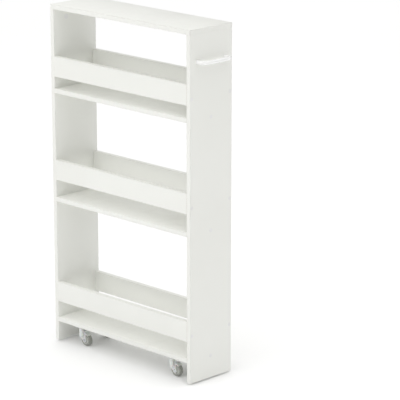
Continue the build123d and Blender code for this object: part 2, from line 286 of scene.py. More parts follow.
# %% Distance to the edges of a board
def edge_distance_group():
    """How far a point on a box's face is from the box's nearest edge: the middle one of three gaps."""
    inputs = [("Position", VECTOR, None), ("Centre", VECTOR, None), ("Half size", VECTOR, None)]
    tree, (position, centre, half_size), result = shader_group("edge_distance", inputs, "Distance")
    offset = take(tree, "ShaderNodeVectorMath", {0: position, 1: centre}, operation="SUBTRACT")
    absolute = take(tree, "ShaderNodeVectorMath", {0: offset}, operation="ABSOLUTE")
    gaps = take(tree, "ShaderNodeVectorMath", {0: half_size, 1: absolute}, operation="SUBTRACT")
    x, y, z = add_node(tree, "ShaderNodeSeparateXYZ", {0: gaps}).outputs
    low = calculate(tree, "MINIMUM", x, y)
    high = calculate(tree, "MAXIMUM", x, y)
    capped = calculate(tree, "MINIMUM", high, z)
    tree.links.new(calculate(tree, "MAXIMUM", low, capped), result)
    return tree

# %% Edge wear
def edge_wear_group():
    """A broken mask that is full on an edge and fades out within Width of it."""
    tree, (position, distance, width, scale, amount), result = shader_group("edge_wear", [
        ("Position", VECTOR, None),
        ("Distance", FLOAT, 0.0),
        ("Width", FLOAT, 0.002),
        ("Scale", FLOAT, 60.0),
        ("Amount", FLOAT, 0.5),
    ], "Mask")
    near = ranged(tree, distance, 0.0, width, 1.0, 0.0)
    patches = noise(tree, position, scale, 5.0, Roughness=0.65)
    broken = calculate(tree, "MULTIPLY", near, ranged(tree, patches, 0.48, 0.66))
    tree.links.new(calculate(tree, "MULTIPLY", broken, amount), result)
    return tree

# %% Settled dust
def settled_dust_group():
    """A speckled film on faces that look up."""
    inputs = [("Position", VECTOR, None), ("Scale", FLOAT, 25.0), ("Amount", FLOAT, 0.3)]
    tree, (position, scale, amount), result = shader_group("settled_dust", inputs, "Mask")
    facing = tree.nodes.new("ShaderNodeNewGeometry").outputs["Normal"]
    up = add_node(tree, "ShaderNodeSeparateXYZ", {0: facing}).outputs["Z"]
    clouds = noise(tree, position, scale, 8.0, Roughness=0.7)
    film = ranged(tree, clouds, 0.4, 0.75)
    lying = calculate(tree, "MULTIPLY", ranged(tree, up, 0.35, 0.95), film)
    tree.links.new(calculate(tree, "MULTIPLY", lying, amount), result)
    return tree

# %% Wiped gloss
def wiped_gloss_group():
    """Roughness between Low and High, in soft patches with a few long wipe marks."""
    inputs = [("Position", VECTOR, None), ("Scale", FLOAT, 8.0), ("Low", FLOAT, 0.3), ("High", FLOAT, 0.45)]
    tree, (position, scale, low, high), result = shader_group("wiped_gloss", inputs, "Roughness")
    patches = noise(tree, position, scale, 4.0, Distortion=0.6)
    stretched = take(tree, "ShaderNodeMapping", {
        "Vector": position,
        "Rotation": (0.5, 0.3, 0.4),
        "Scale": (4.0, 40.0, 6.0),
    })
    mixed = calculate(tree, "ADD", patches, noise(tree, stretched, 3.0, 3.0))
    tree.links.new(ranged(tree, mixed, 0.75, 1.25, low, high, ease="LINEAR"), result)
    return tree

# %% Fine relief
def fine_relief_group():
    """A pebbled height for moulded, painted and pressed surfaces: rounded cells over soft waves."""
    inputs = [("Position", VECTOR, None), ("Scale", FLOAT, 1500.0), ("Waves", FLOAT, 0.5)]
    tree, (position, scale, strength), result = shader_group("fine_relief", inputs, "Height")
    spots = {"Vector": position, "Scale": scale}
    cells = take(tree, "ShaderNodeTexVoronoi", spots, feature="SMOOTH_F1")
    waves = noise(tree, position, calculate(tree, "MULTIPLY", scale, 0.12), 3.0)
    strong = calculate(tree, "MULTIPLY", waves, strength)
    tree.links.new(calculate(tree, "ADD", cells, strong), result)
    return tree


edge_distance = edge_distance_group()
edge_wear = edge_wear_group()
settled_dust = settled_dust_group()
wiped_gloss = wiped_gloss_group()
fine_relief = fine_relief_group()
print("shared effects:", [g.name for g in bpy.data.node_groups])

# %% [markdown]
# ## Materials
# Almost everything here is white, so the whites have to differ the way they do on the real thing: the
# pressed melamine face is satin with a fine pearl, the plastic edge band is smoother and a shade
# warmer, the handle's coat is glossy, and the caster's nylon is slightly translucent and dirtier.

# %% Material helpers
DUST_COLOUR = (0.50, 0.48, 0.44, 1.0)


def new_material(name):
    """A material with its shader, and the object coordinates that every pattern here is laid on."""
    material = bpy.data.materials.new(name)
    material.use_nodes = True
    tree = material.node_tree
    position = tree.nodes.new("ShaderNodeTexCoord").outputs["Object"]
    return material, tree, tree.nodes["Principled BSDF"], position


def place_group(tree, group, inputs):
    """One use of a shared group in a material, with its own values."""
    return add_node(tree, "ShaderNodeGroup", inputs, node_tree=group).outputs[0]


def mix_colours(tree, factor, first, second):
    """Mix two colours by a mask."""
    node = add_node(tree, "ShaderNodeMix", {"Factor": factor}, data_type="RGBA")
    for socket, value in (("A_Color", first), ("B_Color", second)):
        target = next(s for s in node.inputs if s.identifier == socket)
        if isinstance(value, bpy.types.NodeSocket):
            tree.links.new(value, target)
        else:
            target.default_value = value
    return next(s for s in node.outputs if s.identifier == "Result_Color")


def noise_mask(tree, position, scale, low, high, detail=4.0):
    """A soft mask from noise, from 0 below low to 1 above high."""
    return ranged(tree, noise(tree, position, scale, detail), low, high)


def relief(tree, shader, height, strength, distance):
    """Give the shader's normal a bump from a height."""
    bump = add_node(tree, "ShaderNodeBump", {"Height": height, "Strength": strength, "Distance": distance})
    tree.links.new(bump.outputs[0], shader.inputs["Normal"])


def pebbled(tree, shader, position, scale, waves, strength, distance):
    """Give the shader the fine relief."""
    height = place_group(tree, fine_relief, {"Position": position, "Scale": scale, "Waves": waves})
    relief(tree, shader, height, strength, distance)


def wiped(tree, position, scale, low, high):
    """Uneven gloss between two roughnesses."""
    return place_group(tree, wiped_gloss, {"Position": position, "Scale": scale, "Low": low, "High": high})


def dusty(tree, position, tone, scale, amount):
    """A tone under a film of dust, and the film's mask."""
    film = place_group(tree, settled_dust, {"Position": position, "Scale": scale, "Amount": amount})
    return mix_colours(tree, film, tone, DUST_COLOUR), film


def part_of(tree, mask, share):
    """A share of a mask."""
    return calculate(tree, "MULTIPLY", mask, share)


def paint(tree, shader, colour, rough):
    """Give the shader its colour and its gloss."""
    tree.links.new(colour, shader.inputs["Base Color"])
    tree.links.new(rough, shader.inputs["Roughness"])

# %% [markdown]
# ### White melamine board
# The face is a printed and pressed paper: satin, very even, with a pearl that only shows in a glancing
# light. It yellows a trace in broad patches, holds a little dust on shelves, and is rubbed at the edges.
# The Geometry Nodes tree below stores each board's centre and half size on its mesh, so that one
# material can find the edges of every board.

# %% Board faces and edge bands
def board_edges(tree, position):
    """Distance to the edges of the board that the surface belongs to."""
    centre = add_node(tree, "ShaderNodeAttribute", attribute_name="board_centre").outputs["Vector"]
    half = add_node(tree, "ShaderNodeAttribute", attribute_name="board_half").outputs["Vector"]
    return place_group(tree, edge_distance, {"Position": position, "Centre": centre, "Half size": half})


def melamine(name, light, shade, low_gloss, high_gloss, pearl, wear):
    """A white board finish: light and shade are its two close tones."""
    material, tree, shader, position = new_material(name)
    tone = mix_colours(tree, noise_mask(tree, position, 3.0, 0.38, 0.66), light, shade)
    worn = place_group(tree, edge_wear, {
        "Position": position,
        "Distance": board_edges(tree, position),
        "Width": 1.6 * millimetre,
        "Scale": 90.0,
        "Amount": wear,
    })
    rubbed = mix_colours(tree, worn, tone, (0.66, 0.64, 0.60, 1.0))
    colour, film = dusty(tree, position, rubbed, 22.0, 0.10)
    rough = calculate(tree, "ADD", film, wiped(tree, position, 7.0, low_gloss, high_gloss))
    paint(tree, shader, colour, rough)
    pebbled(tree, shader, position, 1100.0, 0.8, pearl, 0.05 * millimetre)
    shader.inputs["Specular IOR Level"].default_value = 0.45
    return material


melamine_face = melamine("melamine_face", (0.868, 0.872, 0.835, 1), (0.848, 0.852, 0.812, 1),
                         low_gloss=0.36, high_gloss=0.46, pearl=0.5, wear=0.16)
edge_band = melamine("edge_band", (0.862, 0.866, 0.828, 1), (0.845, 0.846, 0.808, 1),
                     low_gloss=0.30, high_gloss=0.37, pearl=0.15, wear=0.22)

# %% [markdown]
# ### Raw chipboard
# The ends that butt against a side panel have no band, so the pressed wood chips are bare there. Chips are
# flat flakes at random angles: a Voronoi pattern gives each flake one tone, and a second, finer one
# gives the dark gaps between them.

# %% Chipboard
def chipboard_material():
    material, tree, shader, position = new_material("raw_chipboard")
    squashed = take(tree, "ShaderNodeMapping", {"Vector": position, "Scale": (2.2, 1.0, 1.0)})
    chips = {"Vector": squashed, "Scale": 420.0}
    flakes = add_node(tree, "ShaderNodeTexVoronoi", chips)
    tones = add_node(tree, "ShaderNodeValToRGB", {"Fac": flakes.outputs["Color"]})
    tones.color_ramp.elements[0].color = (0.30, 0.19, 0.10, 1)
    tones.color_ramp.elements[1].color = (0.66, 0.50, 0.32, 1)
    gaps = take(tree, "ShaderNodeTexVoronoi", chips, feature="DISTANCE_TO_EDGE")
    dark = ranged(tree, gaps, 0.0, 0.08, 1.0, 0.0, ease="LINEAR")
    colour = mix_colours(tree, dark, tones.outputs[0], (0.12, 0.07, 0.04, 1))
    paint(tree, shader, colour, noise_mask(tree, position, 900.0, -0.6, 0.7))
    relief(tree, shader, gaps, 0.8, 0.4 * millimetre)
    return material


chipboard = chipboard_material()

# %% [markdown]
# ### Coated metal, plated steel and die-cast zinc
# Powder coat is a thick gloss with a soft orange peel, which is a low wave and no cells. Zinc plating
# is a blue-white metal whose gloss changes from patch to patch, with fine turning lines.

# %% Metals
def powder_coat_material():
    material, tree, shader, position = new_material("white_powder_coat")
    patches = noise_mask(tree, position, 12.0, 0.4, 0.7)
    tone = mix_colours(tree, patches, (0.94, 0.94, 0.935, 1), (0.92, 0.92, 0.912, 1))
    smears = part_of(tree, noise_mask(tree, position, 45.0, 0.56, 0.74), 0.10)
    colour = mix_colours(tree, smears, tone, (0.62, 0.60, 0.56, 1))
    paint(tree, shader, colour, wiped(tree, position, 30.0, 0.12, 0.24))
    pebbled(tree, shader, position, 700.0, 3.0, 0.15, 0.1 * millimetre)
    shader.inputs["Coat Weight"].default_value = 0.35
    shader.inputs["Coat Roughness"].default_value = 0.08
    return material


def plated_metal(name, bright, dull, low_gloss, high_gloss, grain):
    """A plated or cast metal: bright and dull are its two tones."""
    material, tree, shader, position = new_material(name)
    spangle = add_node(tree, "ShaderNodeTexVoronoi", {"Vector": position, "Scale": 900.0}).outputs["Color"]
    tone = mix_colours(tree, noise_mask(tree, position, 160.0, 0.35, 0.7), bright, dull)
    speck = part_of(tree, take(tree, "ShaderNodeSeparateColor", {0: spangle}), 0.25)
    colour = mix_colours(tree, speck, tone, dull)
    paint(tree, shader, colour, wiped(tree, position, 120.0, low_gloss, high_gloss))
    pebbled(tree, shader, position, 2600.0, 0.6, grain, 0.05 * millimetre)
    shader.inputs["Metallic"].default_value = 1.0
    return material


powder_coat = powder_coat_material()
zinc_plate = plated_metal("zinc_plated_steel", (0.72, 0.73, 0.75, 1), (0.52, 0.53, 0.55, 1),
                          low_gloss=0.22, high_gloss=0.42, grain=0.25)
cast_zinc = plated_metal("die_cast_zinc", (0.56, 0.56, 0.57, 1), (0.42, 0.42, 0.43, 1),
                         low_gloss=0.38, high_gloss=0.58, grain=0.7)

# %% [markdown]
# ### Plastics and rubber
# The fork is moulded nylon: white, slightly translucent and finely matt, with grey dirt that noise
# gathers in patches. The wheel is light grey, and its soft tread is darker, matt and scuffed by the
# floor. The cover caps are a thin white foil.

# %% Plastics and rubber
def moulded(name, light, dirty, dirt_scale, dirt_amount, gloss, cell_scale, strength):
    """A moulded plastic or rubber with dirt in patches. gloss holds the two roughnesses."""
    material, tree, shader, position = new_material(name)
    dirt = part_of(tree, noise_mask(tree, position, dirt_scale, 0.42, 0.72, detail=8.0), dirt_amount)
    colour, film = dusty(tree, position, mix_colours(tree, dirt, light, dirty), 180.0, 0.35)
    paint(tree, shader, colour, wiped(tree, position, 90.0, *gloss))
    pebbled(tree, shader, position, cell_scale, 1.0, strength, 0.05 * millimetre)
    return material


caster_nylon = moulded(
    "white_nylon", (0.84, 0.85, 0.84, 1), (0.50, 0.49, 0.45, 1),
    dirt_scale=110.0, dirt_amount=0.35, gloss=(0.32, 0.5), cell_scale=1800.0, strength=0.4,
)
nylon_inputs = caster_nylon.node_tree.nodes["Principled BSDF"].inputs
nylon_inputs["Subsurface Weight"].default_value = 0.12
nylon_inputs["Subsurface Scale"].default_value = 0.0015
wheel_plastic = moulded(
    "wheel_centre_plastic", (0.68, 0.69, 0.65, 1), (0.42, 0.41, 0.37, 1),
    dirt_scale=150.0, dirt_amount=0.45, gloss=(0.42, 0.6), cell_scale=1500.0, strength=0.5,
)
tread_rubber = moulded(
    "grey_tread_rubber", (0.40, 0.41, 0.375, 1), (0.22, 0.215, 0.19, 1),
    dirt_scale=170.0, dirt_amount=0.55, gloss=(0.62, 0.85), cell_scale=1100.0, strength=0.9,
)
cap_foil = moulded(
    "cap_foil", (0.83, 0.83, 0.82, 1), (0.70, 0.69, 0.66, 1),
    dirt_scale=60.0, dirt_amount=0.25, gloss=(0.45, 0.6), cell_scale=2000.0, strength=0.3,
)

# %% [markdown]
# ### Beech
# The dowels are turned beech with the fine dark flecks that beech has. They are inside the joints, but
# a part that can be taken apart shows them.

# %% Beech
def beech_material():
    material, tree, shader, position = new_material("beech_dowel")
    along = take(tree, "ShaderNodeMapping", {"Vector": position, "Scale": (60.0, 900.0, 900.0)})
    grain = noise_mask(tree, along, 1.0, 0.35, 0.65, detail=6.0)
    tone = mix_colours(tree, grain, (0.66, 0.47, 0.29, 1), (0.50, 0.33, 0.19, 1))
    flecks = noise_mask(tree, along, 3.0, 0.62, 0.72)
    colour = mix_colours(tree, flecks, tone, (0.30, 0.17, 0.09, 1))
    paint(tree, shader, colour, noise_mask(tree, along, 2.0, -0.9, 0.9))
    relief(tree, shader, grain, 0.4, 0.1 * millimetre)
    return material


beech = beech_material()
print("materials:", len(bpy.data.materials))

# %% [markdown]
# ## The boards
# Every board is the same thing at another size: a chipboard core between two melamine faces, with
# plastic bands glued to the edges that show. So one Geometry Nodes tree makes them all. A rectangle
# with rounded corners, swept along a line, is the core or a band, and a hair of a groove is left where
# a band meets the face. The tree lays a board along X with its faces up, then turns it into place.
# The helpers come first: they sweep a section along a line, end a tree, and run a tree on an object
# and keep what it makes as a plain mesh.

# %% Helpers for geometry trees
def set_inputs(modifier, values):
    """Set a Geometry Nodes modifier's inputs by their names, through the sockets' identifiers."""
    for item in modifier.node_group.interface.items_tree:
        if item.item_type == "SOCKET" and item.in_out == "INPUT" and item.name in values:
            modifier[item.identifier] = values[item.name]


def new_geometry_tree(name, inputs):
    """A Geometry Nodes tree with a geometry socket at both ends."""
    geometry = ("Geometry", "NodeSocketGeometry")
    return new_group(name, "GeometryNodeTree", [(*geometry, None), *inputs], [geometry])


def grow(name, source, tree, values):
    """Run a Geometry Nodes tree on an object and keep what it makes as a plain mesh."""
    modifier = source.modifiers.new(tree.name, "NODES")
    modifier.node_group = tree
    set_inputs(modifier, values)
    return plain_result(name, source)


def join(tree, parts):
    """Put several geometries together."""
    node = tree.nodes.new("GeometryNodeJoinGeometry")
    for part in parts:
        tree.links.new(part, node.inputs[0])
    return node.outputs[0]


def end_tree(tree, end, geometry, material):
    """End a tree with real geometry in one finish."""
    real = take(tree, "GeometryNodeRealizeInstances", {"Geometry": geometry})
    painted = take(tree, "GeometryNodeSetMaterial", {"Geometry": real, "Material": material})
    tree.links.new(painted, end.inputs[0])


def round_corners(tree, curve, radius, count):
    """Round a line's corners with count steps."""
    inputs = {"Curve": curve, "Radius": radius, "Count": count}
    return take(tree, "GeometryNodeFilletCurve", inputs, mode="POLY")


def sweep(tree, path, section):
    """A solid bar: a section carried along a path."""
    inputs = {"Curve": path, "Profile Curve": section, "Fill Caps": True}
    return take(tree, "GeometryNodeCurveToMesh", inputs)


def combine(tree, axis, value):
    """A vector with a value on one axis."""
    return take(tree, "ShaderNodeCombineXYZ", {axis: value})

# %% A tree that makes a banded board
BAND = 0.8 * millimetre
BAND_ROUNDING = 0.6 * millimetre
GLUE_LINE = 0.12 * millimetre


def strip(tree, reach, width, height, rounding, material):
    """One bar along X that reaches as far to both sides of the middle, width by height."""
    line = take(tree, "GeometryNodeCurvePrimitiveLine", {
        "Start": combine(tree, 0, calculate(tree, "MULTIPLY", reach, -1.0)),
        "End": combine(tree, 0, reach),
    })
    section = take(tree, "GeometryNodeCurvePrimitiveQuadrilateral", {"Width": width, "Height": height})
    bar = sweep(tree, line, round_corners(tree, section, rounding, 4))
    return take(tree, "GeometryNodeSetMaterial", {"Geometry": bar, "Material": material})


def move(tree, geometry, offset, turn=(0, 0, 0)):
    """Turn geometry about the origin, then move it."""
    inputs = {"Geometry": geometry, "Translation": offset, "Rotation": turn}
    return take(tree, "GeometryNodeTransform", inputs)


def store(tree, geometry, name, value, data_type, domain="POINT"):
    """Keep a value on the geometry under a name."""
    inputs = {"Geometry": geometry, "Name": name, "Value": value}
    return take(tree, "GeometryNodeStoreNamedAttribute", inputs, data_type=data_type, domain=domain)


def raw_end_mask(tree, end_bands):
    """True on the end faces of a board that has no bands there."""
    normal = tree.nodes.new("GeometryNodeInputNormal").outputs[0]
    along = take(tree, "ShaderNodeSeparateXYZ", {0: normal})
    steep = take(tree, "ShaderNodeMath", {0: along}, operation="ABSOLUTE")
    is_end = take(tree, "FunctionNodeCompare", {0: steep, 1: 0.99}, operation="GREATER_THAN")
    no_band = take(tree, "FunctionNodeCompare", {0: end_bands, 1: 0.5}, operation="LESS_THAN")
    return take(tree, "FunctionNodeBooleanMath", {0: is_end, 1: no_band}, operation="AND")


def banded_board_tree():
    tree, given, end = new_geometry_tree("banded_board", [
        ("Length", FLOAT, 0.4),
        ("Width", FLOAT, 0.1),
        ("Thickness", FLOAT, 0.012),
        ("Band", FLOAT, BAND),
        ("Rounding", FLOAT, BAND_ROUNDING),
        ("Glue line", FLOAT, GLUE_LINE),
        ("End bands", FLOAT, 0.0),
        ("Turn", VECTOR, None),
        ("Place", VECTOR, None),
        ("Half size", VECTOR, None),
        ("Face material", MATERIAL, None),
        ("Band material", MATERIAL, None),
        ("End material", MATERIAL, None),
    ])
    value = given.outputs
    thickness = value["Thickness"]
    half_length = calculate(tree, "MULTIPLY", value["Length"], 0.5)
    half_width = calculate(tree, "MULTIPLY", value["Width"], 0.5)
    half_band = calculate(tree, "MULTIPLY", value["Band"], 0.5)
    end_inset = calculate(tree, "MULTIPLY", value["Band"], value["End bands"])
    core_reach = calculate(tree, "SUBTRACT", half_length, end_inset)
    core_width = calculate(tree, "SUBTRACT", value["Width"], calculate(tree, "MULTIPLY", value["Band"], 2.0))
    half_core = calculate(tree, "MULTIPLY", core_width, 0.5)
    band_middle = calculate(tree, "SUBTRACT", half_width, half_band)
    end_middle = calculate(tree, "SUBTRACT", half_length, half_band)
    band_look = (value["Band"], thickness, value["Rounding"], value["Band material"])
    core = strip(tree, core_reach, core_width, thickness, value["Glue line"], value["Face material"])
    long_band = strip(tree, half_length, *band_look)
    end_band = strip(tree, half_core, *band_look)
    long_bands = []
    end_bands = []
    for side in (-1.0, 1.0):
        sideways = combine(tree, 1, calculate(tree, "MULTIPLY", band_middle, side))
        endways = combine(tree, 0, calculate(tree, "MULTIPLY", end_middle, side))
        long_bands.append(move(tree, long_band, sideways))
        end_bands.append(move(tree, end_band, endways, (0, 0, math.pi / 2)))
    has_ends = take(tree, "FunctionNodeCompare", {0: value["End bands"], 1: 0.5}, operation="GREATER_THAN")
    chosen = add_node(tree, "GeometryNodeSwitch", {"Switch": has_ends}, input_type="GEOMETRY")
    tree.links.new(join(tree, end_bands), chosen.inputs["True"])
    whole = join(tree, [core, *long_bands, chosen.outputs[0]])
    marked = store(tree, whole, "raw_end", raw_end_mask(tree, value["End bands"]), "BOOLEAN", "FACE")
    placed = move(tree, marked, value["Place"], value["Turn"])
    centred = store(tree, placed, "board_centre", value["Place"], "FLOAT_VECTOR")
    measured = store(tree, centred, "board_half", value["Half size"], "FLOAT_VECTOR")
    real = take(tree, "GeometryNodeRealizeInstances", {"Geometry": measured})
    raw = take(tree, "GeometryNodeInputNamedAttribute", {"Name": "raw_end"}, data_type="BOOLEAN")
    painted = take(tree, "GeometryNodeSetMaterial", {
        "Geometry": real,
        "Selection": raw,
        "Material": value["End material"],
    })
    tree.links.new(painted, end.inputs[0])
    print("board tree:", len(tree.nodes), "nodes")
    return tree


board_tree = banded_board_tree()

# %% [markdown]
# A shelf lies flat, a rail stands on its long edge and a side panel stands on end, so each kind needs
# its own turn. Which of its three sizes is the thickness says which kind it is.

# %% Make every board
FLAT = (0.0, 0.0, 0.0)
ON_EDGE = (math.pi / 2, 0.0, 0.0)
ON_END = (0.0, math.pi / 2, 0.0)


def declare(piece, body, node):
    """Hang a piece on the body it rides on, and hide the CAD piece that it stands for."""
    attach(piece, body)
    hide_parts(node)


def shade(piece, angle):
    """Smooth shading, with sharp edges where the surface turns more than the angle."""
    piece.data.shade_smooth()
    piece.data.set_sharp_from_angle(angle=math.radians(angle))


def make_board(node, turn, end_bands, end_finish):
    """Replace one CAD board by a banded one of the same size."""
    low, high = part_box(node)
    size = high - low
    lying = {FLAT: size, ON_EDGE: (size.x, size.z, size.y), ON_END: (size.z, size.y, size.x)}
    length, width, thickness = lying[turn]
    source = object_from("board_source", bpy.data.meshes.new("board_source"))
    board = grow(f"banded_{node}", source, board_tree, {
        "Length": length,
        "Width": width,
        "Thickness": thickness,
        "End bands": float(end_bands),
        "Turn": turn,
        "Place": tuple((low + high) / 2),
        "Half size": tuple(size / 2),
        "Face material": melamine_face,
        "Band material": edge_band,
        "End material": end_finish,
    })
    shade(board, 35)
    declare(board, "cabinet", node)


for node in sorted(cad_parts):
    if node.endswith("_shelf"):
        make_board(node, FLAT, False, chipboard)
    elif node.endswith("_rail"):
        make_board(node, ON_EDGE, False, chipboard)
    elif node.endswith("_side_panel"):
        make_board(node, ON_END, False, edge_band)
    elif node == "top_panel":
        make_board(node, FLAT, True, edge_band)

# %% [markdown]
# ## Fasteners and cover caps
# The cart is put together with many copies of a few small things: adhesive caps over the panel
# screws, and cross-recess screws in the caster plates and behind the handle. A tree sets one shape on
# every place of a group, faces it the right way, and gives each copy a turn of its own about its axis,
# because no two screws stop at the same angle.

# %% A tree that sets one shape on many places
def turn_about_z(tree, angle):
    """A rotation about Z."""
    return take(tree, "FunctionNodeAxisAngleToRotation", {"Axis": (0, 0, 1), "Angle": angle})


def copy_to_points(tree, points, shape, rotation):
    """Set one shape on every point."""
    inputs = {"Points": points, "Instance": shape, "Rotation": rotation}
    return take(tree, "GeometryNodeInstanceOnPoints", inputs)


def fastener_tree():
    tree, given, end = new_geometry_tree("set_fasteners", [
        ("Shape", "NodeSocketObject", None),
        ("Seed", WHOLE, 4),
        ("Finish", MATERIAL, None),
    ])
    value = given.outputs
    shape = add_node(tree, "GeometryNodeObjectInfo", {"Object": value["Shape"]}).outputs["Geometry"]
    facing = take(tree, "GeometryNodeInputNamedAttribute", {"Name": "facing"}, data_type="FLOAT_VECTOR")
    aligned = take(tree, "FunctionNodeAlignRotationToVector", {"Vector": facing}, axis="Z")
    share = add_node(tree, "FunctionNodeRandomValue", {"Seed": value["Seed"]}, data_type="FLOAT").outputs[1]
    spin = turn_about_z(tree, calculate(tree, "MULTIPLY", share, 2 * math.pi))
    both = take(tree, "FunctionNodeRotateRotation", {0: aligned, 1: spin}, rotation_space="LOCAL")
    end_tree(tree, end, copy_to_points(tree, value["Geometry"], shape, both), value["Finish"])
    return tree


fasteners = fastener_tree()


def island_boxes(node):
    """The box of every separate solid in a CAD node, as (low, high) pairs."""
    shape = bmesh.new()
    shape.from_mesh(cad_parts[node].data)
    bmesh.ops.remove_doubles(shape, verts=shape.verts, dist=1e-6)
    boxes = []
    left = set(shape.verts)
    while left:
        reached = [left.pop()]
        points = []
        while reached:
            vert = reached.pop()
            points.append(vert.co.copy())
            for edge in vert.link_edges:
                other = edge.other_vert(vert)
                if other in left:
                    left.remove(other)
                    reached.append(other)
        low = Vector(min(p[i] for p in points) for i in range(3))
        high = Vector(max(p[i] for p in points) for i in range(3))
        boxes.append((low, high))
    shape.free()
    return sorted(boxes, key=lambda box: tuple(round(v, 5) for v in box[0]))


def set_fasteners(node, shape_mesh, places, finish, seed, name=None):
    """Replace a CAD group of equal fasteners. places holds (point, facing) pairs."""
    points = bpy.data.meshes.new("places")
    points.from_pydata([point for point, facing in places], [], [])
    attribute = points.attributes.new("facing", "FLOAT_VECTOR", "POINT")
    for value, (point, facing) in zip(attribute.data, places):
        value.vector = facing
    shape_source = object_from("shape_source", shape_mesh)
    source = object_from("fastener_source", points)
    values = {"Shape": shape_source, "Seed": seed, "Finish": finish}
    made = grow(name or f"turned_{node}", source, fasteners, values)
    bpy.data.objects.remove(shape_source)
    declare(made, "cabinet", node)
    print(node, "copies:", len(places), "faces:", len(made.data.polygons))

# %% [markdown]
# A cover cap is a punched disc of thin white foil with glue on its back. Punching rounds its rim, and
# over the screw's recess it stands a hair proud in the middle.

# %% Cover caps
def cap_mesh(radius, thickness):
    rim = 0.05 * radius
    profile = [(0, 0), (radius - rim, 0), (radius, 0.3 * thickness), (radius, 0.55 * thickness)]
    profile += [(radius - 0.5 * rim, 0.8 * thickness), (radius - 2 * rim, 0.88 * thickness)]
    profile += [(0.45 * radius, 0.9 * thickness), (0.35 * radius, 0.98 * thickness), (0, thickness)]
    return mesh_from("cap", lathe(profile, steps=40), smooth_angle=50)


def side_places(node, outward):
    """Where each disc lies on its side panel, and whether it faces out of the cart or into it."""
    middle_x = sum(end.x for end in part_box("top_panel")) / 2
    places = []
    for low, high in island_boxes(node):
        middle = (low + high) / 2
        on_left = middle.x < middle_x
        point = (high.x if on_left else low.x, middle.y, middle.z)
        places.append((point, (-1 if on_left == outward else 1, 0, 0)))
    return places


cap_low, cap_high = island_boxes("screw_cover_caps")[0]
cap_size = cap_high - cap_low
caps = cap_mesh(cap_size.z / 2, cap_size.x)
cap_places = side_places("screw_cover_caps", outward=True)
set_fasteners("screw_cover_caps", caps, cap_places, cap_foil, seed=3)

# %% [markdown]
# A small pan-head screw: a low domed head with a cross recess that narrows downwards, on a shank with
# a coarse wood thread. The recess is cut out of the head with a cross of two tapered blades.

# %% Screws
def cross_blade(reach, width, depth, top):
    """A cross of two tapered blades, point down, with its top above the head."""
    shape = bmesh.new()
    for turn in (0, math.pi / 2):
        made = bmesh.ops.create_cube(shape, size=1.0)["verts"]
        for vert in made:
            x, y, z = vert.co
            taper = 0.35 if z < 0 else 1.0
            vert.co = (x * 2 * reach * taper, y * width * taper, top - depth * (0.5 - z))
        bmesh.ops.rotate(shape, verts=made, matrix=Matrix.Rotation(turn, 3, "Z"))
    bmesh.ops.recalc_face_normals(shape, faces=shape.faces)
    mesh = bpy.data.meshes.new("cross_blade")
    shape.to_mesh(mesh)
    shape.free()
    return mesh


def cut_recess(turned_mesh, blade_mesh, smooth_angle):
    """Cut a blade out of a turned shape, and return what is left as a mesh."""
    turned = object_from("turned_source", turned_mesh)
    blade = object_from("blade_source", blade_mesh)
    cut = turned.modifiers.new("recess", "BOOLEAN")
    cut.object = blade
    cut.solver = "EXACT"
    cut.use_self = True
    made = plain_result("recessed", turned)
    bpy.data.objects.remove(blade)
    shade(made, smooth_angle)
    mesh = made.data
    bpy.data.objects.remove(made)
    return mesh


def screw_mesh(head_radius, head_height, shank_radius, length, pitch):
    """A screw whose head's seat is at height 0, head up."""
    core = 0.72 * shank_radius
    profile = [(0, -length), (0.25 * shank_radius, -length)]
    turns = int((length - 0.2 * length) / pitch)
    for i in range(turns):
        height = -0.92 * length + i * pitch
        profile += [(core, height), (shank_radius, height + 0.45 * pitch)]
        profile += [(shank_radius, height + 0.55 * pitch)]
    profile += [(core, -0.1 * length), (0.95 * shank_radius, -0.06 * length), (0.95 * shank_radius, 0)]
    profile += [(head_radius * 0.96, 0), (head_radius, 0.12 * head_height), (head_radius, 0.4 * head_height)]
    for i in range(1, 8):
        angle = math.pi / 2 * i / 8
        dome = 0.4 + 0.6 * math.sin(angle)
        profile.append((head_radius * math.cos(angle) ** 0.8, head_height * dome))
    profile.append((0, head_height))
    blade = cross_blade(0.52 * head_radius, 0.26 * head_radius, 0.75 * head_height, 1.02 * head_height)
    return cut_recess(mesh_from("screw", lathe(profile, steps=28)), blade, 38)


# Head radius, head height, shank radius and thread pitch.
PLATE_SCREW = (3.2 * millimetre, 1.8 * millimetre, 1.5 * millimetre, 1.2 * millimetre)
HANDLE_SCREW = (4.0 * millimetre, 2.6 * millimetre, 2.0 * millimetre, 0.7 * millimetre)


def set_screws(node, sizes, axis, seed):
    """Replace a CAD group of screws whose heads are at their low ends along an axis."""
    head_radius, head_height, shank_radius, pitch = sizes
    boxes = island_boxes(node)
    length = boxes[0][1][axis] - boxes[0][0][axis] - head_height
    direction = [0, 0, 0]
    direction[axis] = -1
    places = []
    for low, high in boxes:
        seat = (low + high) / 2
        seat[axis] = low[axis] + head_height
        places.append((tuple(seat), tuple(direction)))
    screw = screw_mesh(head_radius, head_height, shank_radius, length, pitch)
    set_fasteners(node, screw, places, zinc_plate, seed)


set_screws("caster_screws", PLATE_SCREW, axis=2, seed=8)
set_screws("handle_screws", HANDLE_SCREW, axis=0, seed=15)

# %% [markdown]
# The cams that draw the top panel down are plain zinc discs in the inner faces of the sides. Each one
# has a screwdriver cross and gets the same foil cap over it, because it would be the only metal in
# sight.

